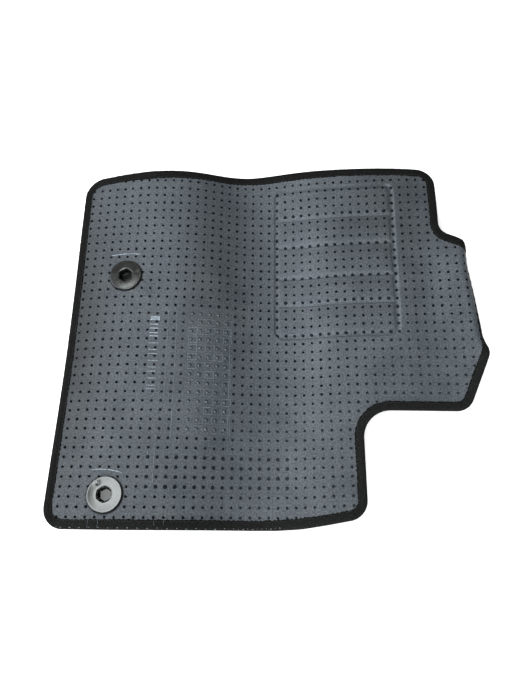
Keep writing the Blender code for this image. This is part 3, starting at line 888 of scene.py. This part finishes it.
def build_lap(mat):
    """Where the tape's two ends overlap on the far side."""
    s, y, ns, ny, run = loop_path(OUTLINE, 1.0)
    pick = (y > 200) & (s > LAP_FROM) & (s < LAP_TO)
    s, y, ns, ny, run = s[pick], y[pick], ns[pick], ny[pick], run[pick]
    taper = np.minimum(1.0, 0.55 + 0.45 * np.minimum(run - run[0], run[-1] - run) / 1.2)
    rows, count = len(LAP_SECTION), len(s)
    points = [drape(s + ns * inset, y + ny * inset, np.full(count, level) * (0.9 + 0.1 * taper))
              for inset, level in LAP_SECTION]
    uv = np.concatenate([np.stack([run, np.full(count, float(r))], 1) for r in range(rows)])
    faces = [face[::-1] for face in bar_faces(rows, count)]
    add_piece("binding_lap", np.concatenate(points), faces, mat, "tape", False, uv, None,
              np.ones(rows * count))


# ---- heel pad


PAD_STEP = 1.5
PAD_TOP, PAD_FACE = -5.6, -7.7      # heights of the pad's hidden side and of its ribbed face
RIB_PITCH, RIB_DEPTH = 6.0, 0.9


def build_heel_pad(mat):
    """Ribbed pad on the carpet side, welded along its rim and four cross bars."""
    left, low, right, high = PAD_BOX
    s_line = np.linspace(left, right, int((right - left) / PAD_STEP) + 1)
    y_line = np.linspace(low, high, int((high - low) / PAD_STEP) + 1)
    s, y = np.meshgrid(s_line, y_line, indexing="ij")
    cs = np.clip(s, left + PAD_RADIUS, right - PAD_RADIUS)
    cy = np.clip(y, low + PAD_RADIUS, high - PAD_RADIUS)
    pull = np.minimum(1.0, PAD_RADIUS / np.maximum(np.hypot(s - cs, y - cy), 1e-9))
    s, y = cs + (s - cs) * pull, cy + (y - cy) * pull
    depth, _ = edge_distance(s, y, PAD_LOOP)
    rib = 0.5 + 0.5 * np.cos(2 * pi * (s - left) / RIB_PITCH)
    weld = np.zeros_like(s)
    for bar in BAR_Y:
        weld = np.maximum(weld, 1.0 - smooth((np.abs(y - bar - 4.0) - 3.0) / 2.0))
    weld = np.maximum(weld, 1.0 - smooth((depth - 5.0) / 2.0))
    face = PAD_FACE - RIB_DEPTH * rib * (1.0 - weld) + 0.5 * weld
    face = face + 1.2 * (1.0 - smooth(depth / 1.6))
    heights = np.full(s.size, PAD_TOP), face.ravel()
    index = np.arange(s.size).reshape(s.shape)
    pad = closed_sheet("ribbed_heel_pad", s.ravel(), y.ravel(), heights, index,
                       np.ones_like(s[1:, 1:], bool), mat, "heel_pad")
    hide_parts("heel_pad")
    return pad


# ---- fixings


def turned(rows, axes, wrap=False):
    """Rings about a fixing's axis; a row gives radius and height at each angle."""
    centre, along, across, up = axes
    angle = 2 * pi * np.arange(TURN_SIDES) / TURN_SIDES
    points = []
    for row in rows:
        radius, height = row(angle)
        local = (centre + np.outer(radius * np.cos(angle), along) + np.outer(radius * np.sin(angle), across)
                 + np.outer(height, up))
        points.append((local - ORIGIN) * 0.001)
    return np.concatenate(points), row_faces(len(rows), TURN_SIDES, wrap=wrap)


def round_row(radius, height):
    return lambda angle: (np.full(angle.shape, radius), np.full(angle.shape, height))


def hex_row(half, height, soft):
    """Six-sided ring, half its width across flats, drawn part of the way to a circle."""
    def row(angle):
        off = (angle + pi / 6.0) % (pi / 3.0) - pi / 6.0
        return half / np.cos(off) * (1 - soft) + half * 1.05 * soft, np.full(angle.shape, height)
    return row


TURN_SIDES = 96
# radius and height of the rings, from the disc's foot over its face and into the mouth
DISC_RIM = ((22.6, 0.05), (23.0, 0.5), (23.0, 1.5), (22.9, 1.85), (22.6, 2.08), (22.2, 2.12))
DISC_RINGS = (21.7, 20.8, 19.9, 19.0, 18.1, 17.2, 16.3, 15.4, 14.5, 13.5, 12.5)
MOUTH_LIP = ((11.9, 2.62), (11.0, 2.60))
MOUTH = ((9.75, 2.56, 0.4), (9.4, 2.3, 0.25), (9.1, 1.4, 0.15), (8.9, 0.4, 0.1))
MOUTH_FOOT = (11.0, 0.35)
# height, outer radius and inner radius down a sprung finger
FINGER_RINGS = ((0.9, 10.1, 9.15), (-1.5, 9.6, 8.3), (-4.2, 8.5, 7.3), (-5.0, 8.3, 7.5))
FINGER_SPAN = (-1.0, -0.33, 0.33, 1.0)
FINGER_HALF = radians(24.0)
# radius and height of the cap, from the middle of its foot round to the socket's floor
CAP_PROFILE = (
    (0.6, -8.5), (8.0, -8.5), (14.8, -8.45), (15.2, -8.2), (15.8, -8.2), (16.2, -8.45),
    (19.0, -8.3), (21.4, -7.9), (22.6, -7.3), (23.0, -6.6), (23.0, -3.9), (22.6, -3.5),
    (12.3, -3.4), (12.3, -0.2), (12.1, 0.25), (10.5, 0.25), (10.5, -5.6), (10.4, -5.9),
    (7.4, -5.9), (5.5, -5.85), (3.0, -5.75), (0.6, -5.75))


def disc_face(radius, turn, reach, depth):
    """Ring of the disc's dished upper face, with one shallow gate mark."""
    def row(angle):
        height = 2.62 - 0.55 * ((radius - 12.5) / 9.5) ** 1.3
        ds = radius * np.cos(angle) - reach * cos(turn)
        dy = radius * np.sin(angle) - reach * sin(turn)
        mark = np.exp(-(ds ** 2 + dy ** 2) / 3.0 ** 2)
        return np.full(angle.shape, radius), height - depth * mark
    return row


def build_fingers(side, axes, mat):
    """Six sprung fingers, closing round the stud's head."""
    centre, along, across, up = axes
    points, faces = [], []
    for n in range(6):
        base = len(points)
        for height, *radii in FINGER_RINGS:
            for radius in radii:
                for f in FINGER_SPAN:
                    a = pi / 3.0 * n + f * FINGER_HALF * (1.0 - 0.02 * (0.9 - height))
                    place = centre + along * radius * cos(a) + across * radius * sin(a) + up * height
                    points.append((place - ORIGIN) * 0.001)
        for a in range(base, base + 24, 8):
            for k in range(a, a + 3):
                faces.append([k, k + 8, k + 9, k + 1])
                faces.append([k + 4, k + 5, k + 13, k + 12])
            faces.append([a, a + 4, a + 12, a + 8])
            faces.append([a + 11, a + 15, a + 7, a + 3])
        for k in range(base, base + 3):
            faces.append([k, k + 1, k + 5, k + 4])
            faces.append([k + 24, k + 28, k + 29, k + 25])
    add_piece("fixing_fingers_" + side, points, faces, mat, "cap", False)


def build_fixing(side, dimple, ring_mat, cap_mat):
    rows = [round_row(*ring) for ring in DISC_RIM]
    rows += [disc_face(radius, *dimple) for radius in DISC_RINGS]
    rows += [round_row(*ring) for ring in MOUTH_LIP] + [hex_row(*ring) for ring in MOUTH]
    rows.append(round_row(*MOUTH_FOOT))
    ring = add_piece("fixing_disc_" + side, *turned(rows, FRAMES[side], True), ring_mat, "fixing")
    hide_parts("fixing_ring_" + side)
    build_fingers(side, FRAMES[side], cap_mat)
    points, faces = turned([round_row(*ring) for ring in CAP_PROFILE], FRAMES[side])
    faces += end_faces(len(CAP_PROFILE), TURN_SIDES)
    cap = add_piece("fixing_button_" + side, points, faces, cap_mat, "cap")
    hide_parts("fixing_cap_" + side)


# ---- moulded marks


def lines_piece(name, paths, width, height, mat, ground=backing_top, slot="backing"):
    """Raised lines along open paths in the pattern, on a ground height."""
    points, faces, uv, start = [], [], [], 0
    for path in paths:
        d = np.gradient(path, axis=0)
        side = np.stack([-d[:, 1], d[:, 0]], 1) / np.hypot(d[:, 0], d[:, 1])[:, None] * width / 2.0
        for share, lift in ((-1.0, -0.3), (-0.6, height), (0.6, height), (1.0, -0.3)):
            s, y = (path + side * share).T
            points.append(drape(s, y, ground(s, y) + lift))
        uv.append(np.tile(path, (4, 1)))
        faces += [[v + start for v in face] for face in bar_faces(4, len(path))]
        start += 4 * len(path)
    return add_piece(name, np.concatenate(points), faces, mat, slot, False, np.concatenate(uv),
                     None, np.ones(start))


def line_points(a, b, step=2.5):
    """Points along a straight line, about a step apart."""
    count = max(2, int(np.hypot(b[0] - a[0], b[1] - a[1]) / step) + 1)
    f = np.linspace(0.0, 1.0, count)[:, None]
    return np.array(a) * (1 - f) + np.array(b) * f


# gap between nib rows, heights of its bars over the gap's foot, and their length
POLISHED_GAPS = ((1, (0.0, 1.7, 3.4, 5.1), 13.0), (0, (0.0, 6.0), 12.0), (-1, (1.0, 6.0), 12.0))
DULL_GAPS = ((-2, (3.5,), 13.5), (-3, (0.5, 6.5), 12.0), (-4, (3.5,), 13.5), (-5, (0.5, 6.5), 12.0),
             (-6, (3.5,), 12.0), (-7, (1.0, 6.0), 13.0))


def build_bars(name, gaps, mat):
    """Plain raised bars in the gaps between the nibs: the panel carries no lettering."""
    paths = []
    for gap, lifts, length in gaps:
        low = FIRST_Y + PITCH_Y * gap + 2.6
        for lift in lifts:
            paths.append(line_points((-180.5, low + lift), (-180.5 + length, low + lift)))
    return lines_piece(name, paths, 1.4, 0.5, mat)


# grid columns and rows of the nibs with a frame
CRISP_CELLS = [(-10, m) for m in (-4, -3, -2, -1, 0)] + [(-8, -9), (-8, -5), (-7, -3), (-6, 0), (-6, -8)]
FAINT_CELLS = [(k, m) for k in (-9, -8, -7, -6) for m in range(-11, 2)
               if (k, m) not in CRISP_CELLS and (k + 2 * m) % 5]
FRAME_CORNERS = ((-3.6, -4.9), (8.0, -4.9), (8.0, 4.9), (-3.6, 4.9), (-3.6, -4.9))


def build_frames(name, cells, mat):
    """Small empty frames moulded round single nibs."""
    paths = []
    for k, m in cells:
        column, row = FIRST_S + PITCH_S * k, FIRST_Y + PITCH_Y * m
        corners = [(column + ds, row + dy) for ds, dy in FRAME_CORNERS]
        paths += [line_points(a, b) for a, b in zip(corners, corners[1:])]
    return lines_piece(name, paths, 0.85, 0.42, mat)


# place along the flat pattern and the two ends of each long thin line of the moulded panel
PANEL_LINES = ((-155.0, -92.0, 31.0), (-143.0, -150.0, 31.0), (-66.0, -146.0, 8.0),
               (-172.0, -190.0, -150.0), (-163.0, -212.0, -146.0))


def arc_points(middle, half, sag, tilt):
    """Bowed line of a scuff rubbed into the backing."""
    f = np.linspace(-1.0, 1.0, 22)
    return np.stack([middle[0] + half * f, middle[1] - sag * f * f + tilt * f], 1)


def build_lint(mat, rng):
    """Pale specks along the near tape's outer edge: frayed thread, and partly painted highlight for the
    glints on the lumps the nibs raise under the tape.
    """
    s, y, ns, ny, _ = loop_path(OUTLINE, 6.15)
    paths = []
    for k in np.nonzero((y < -236.0) & (s > -285.0) & (s < 10.0))[0]:
        length = (1.5 if k % 2 else 0.8) * rng.uniform(0.6, 1.2)
        inset = rng.uniform(1.6, 2.8)
        middle = np.array([s[k] + ns[k] * inset, y[k] + ny[k] * inset])
        half = np.array([ny[k], -ns[k]]) * length / 2.0
        paths.append(line_points(middle - half, middle + half))
    return lines_piece("fray_and_highlight_specks", paths, 0.62, 0.28, mat, flat_height(1.35), "thread")


def build_thread_ends(mat, rng):
    """Pale thread ends lying across the near tape."""
    paths = []
    for place in (-241.7, -228.8, -157.2, -145.8):
        lean = rng.uniform(-1.5, 1.5)
        paths.append(line_points((place, -266.0), (place + lean, -256.8), 1.5))
    return lines_piece("thread_ends", paths, 0.42, 0.28, mat, flat_height(1.35), "thread")


# ---- assembly

backing_look = backing_material("grey_backing", 0.047, 0.105, False)
nib_look = backing_material("nib_compound", 0.047, 0.105, True, 0.62, 0.05)
worn_look = backing_material("polished_nibs", 0.047, 0.105, True, 0.22, 0.5)
# the moulded lines, frames and bars are paler than the sheet: painted highlight on their raised edges
line_look = backing_material("moulded_lines", 0.120, 0.210, False)
bar_look = backing_material("bars_painted_highlight", 0.20, 0.50, False, 0.35)
dull_look = backing_material("dull_bars", 0.15, 0.34, False, 0.45)
faint_look = backing_material("faint_lines", 0.075, 0.150, False)
tape_look = tape_material()
thread_look = plain_material("sewing_thread", {
    "Base Color": [(1500.0, 2.0), (0.3, (0.003, 0.0035, 0.003)), (0.7, (0.011, 0.012, 0.011))],
    "Roughness": 0.6}, ((1500.0, 2.0), 0.3, 0.0002))
pad_look = plain_material("heel_pad_vinyl", {
    "Base Color": [(30.0,), (0.3, (0.014, 0.014, 0.015)), (0.7, (0.026, 0.026, 0.027))],
    "Roughness": [(600.0,), (0.3, grey(0.42)), (0.7, grey(0.6))]}, ((600.0,), 0.4, 0.0004))
ring_look = plastic_material("satin_grey_plastic", 0.012, 0.022, 0.20, 0.66)
cap_look = plastic_material("satin_black_plastic", 0.003, 0.005, 0.17, 0.30)

backing = build_backing(backing_look)
carpet = build_carpet(pile_material())
rng = np.random.default_rng(7)
nib_s, nib_y = nib_places()
pressed, worn = is_pressed(nib_s, nib_y), is_worn(nib_s, nib_y)
free = ~pressed & ~worn
nibs = [
    build_nibs("backing_nibs", (nib_s[free], nib_y[free]), FREE_NIB, 0.15, nib_look, rng),
    build_nibs("pressed_nibs", (nib_s[pressed], nib_y[pressed]), PRESSED_NIB, 0.25, nib_look, rng,
               np.where(in_box(nib_s, nib_y, STAMP_BOX), STAMP_SWELL, 1.0)[pressed]),
    build_nibs("worn_nibs", (nib_s[worn], nib_y[worn]), WORN_NIB, 0.25, worn_look, rng),
]
build_tape(tape_look)
build_lap(tape_look)
build_stitches("needle_stitches", "binding_needle_thread", NEEDLE_LEVEL, thread_look)
build_stitches("bobbin_stitches", "binding_bobbin_thread", BOBBIN_LEVEL, thread_look)
heel_pad = build_heel_pad(pad_look)
build_fixing("rear_left", (radians(11.6), 17.4, 0.25), ring_look, cap_look)
build_fixing("rear_right", (radians(126.0), 18.0, 0.7), ring_look, cap_look)
frames = build_frames("crisp_frames", CRISP_CELLS, line_look)
faint_frames = build_frames("faint_frames", FAINT_CELLS, faint_look)
panel_paths = [line_points((place, high), (place, low)) for place, low, high in PANEL_LINES]
marks = lines_piece("moulded_panel", panel_paths, 0.8, 0.42, line_look)
bars = build_bars("polished_bars", POLISHED_GAPS, bar_look)
dull_bars = build_bars("moulded_bars", DULL_GAPS, dull_look)
scuff_paths = [arc_points((-224.0, 121.3), 21.5, 1.6, 0.6), arc_points((-223.5, -193.2), 20.0, 2.3, -1.9)]
scuffs = lines_piece("handling_scuffs", scuff_paths, 1.1, 0.12, scuff_material("pale_scuff", 0.14, 0.52))
lint = build_lint(scuff_material("fray_and_highlight_thread", 0.12, 0.50), rng)
thread_ends = build_thread_ends(scuff_material("pale_thread", 0.04, 0.20), rng)

# ---- stage, camera and light


STAGE_RADIUS, STAGE_HEIGHT, STAGE_SIDES = 12.0, 12.0, 64


def add_stage_piece(name, points, faces, mat):
    obj = add_object(name, new_mesh(name, points, faces, mat))
    return obj


def add_stage():
    """Round pale floor just under the mat, and a wall round it that lights nothing."""
    floor_look = plain_material("studio_floor", {
        "Base Color": [(3.0, 2.0), (0.3, grey(0.90)), (0.7, grey(0.92))], "Roughness": 0.9,
        "Emission Color": (1.0, 1.0, 1.0, 1.0), "Emission Strength": 0.62})
    backdrop_look = plain_material("studio_backdrop", {
        "Base Color": (0.0, 0.0, 0.0, 1.0), "Emission Strength": 1.0,
        "Emission Color": [(0.3, 1.0), (0.3, grey(0.80)), (0.7, grey(0.86))]})
    turn = 2 * pi * np.arange(STAGE_SIDES) / STAGE_SIDES
    x, y = STAGE_RADIUS * np.cos(turn), STAGE_RADIUS * np.sin(turn)
    low = np.stack([x, y, np.full(STAGE_SIDES, -0.0004)], 1)
    high = np.stack([x, y, np.full(STAGE_SIDES, STAGE_HEIGHT)], 1)
    add_stage_piece("floor", low, [list(range(STAGE_SIDES))], floor_look)
    backdrop = add_stage_piece("backdrop", np.concatenate([low, high]), row_faces(2, STAGE_SIDES),
                               backdrop_look)
    backdrop.visible_diffuse = backdrop.visible_glossy = False
    backdrop.visible_transmission = backdrop.visible_shadow = False


def add_light(name, place, target, size, power):
    data = bpy.data.lights.new(name, "AREA")
    data.shape = "RECTANGLE"
    data.size, data.size_y = size
    data.energy = power
    obj = add_object(name, data)
    obj.location = place
    obj.rotation_euler = (Vector(target) - Vector(place)).to_track_quat("-Z", "Y").to_euler()
    obj.visible_camera = False


WINDOW_SIZE, SOFTBOX_SIZE = (4.2, 4.2), (0.9, 1.1)
SOFTBOX_POWER = pi * 0.9 * 1.1 * 10.0
CAMERA_PLACE = (-0.0505, -0.2557, 0.7818)
CAMERA_ANGLES = (17.007, -2.609, 0.316)
LENS_MM, SENSOR_MM = 28.8, 36.0


def add_camera():
    data = bpy.data.cameras.new("camera")
    data.lens = LENS_MM
    data.sensor_width = SENSOR_MM
    data.clip_start = 0.01
    obj = add_object("camera", data)
    obj.location = CAMERA_PLACE
    obj.rotation_euler = Euler([radians(angle) for angle in CAMERA_ANGLES])
    bpy.context.scene.camera = obj


add_stage()
add_camera()
world = bpy.data.worlds.new("studio")
world.use_nodes = True
wire(world.node_tree.nodes["Background"], {"Color": (1.0, 1.0, 1.0, 1.0), "Strength": 0.12})
bpy.context.scene.world = world
bpy.context.scene.view_settings.view_transform = "Standard"
add_light("window", (-4.6, 0.0, 2.2), (0.0, 0.0, 0.0), WINDOW_SIZE, 312.0)
add_light("front_light", (0.0, -4.6, 2.2), (0.0, 0.0, 0.0), WINDOW_SIZE, 270.0)
add_light("softbox", (-0.85, 0.20, 2.0), (-0.85, 0.20, 0.0), SOFTBOX_SIZE, SOFTBOX_POWER)
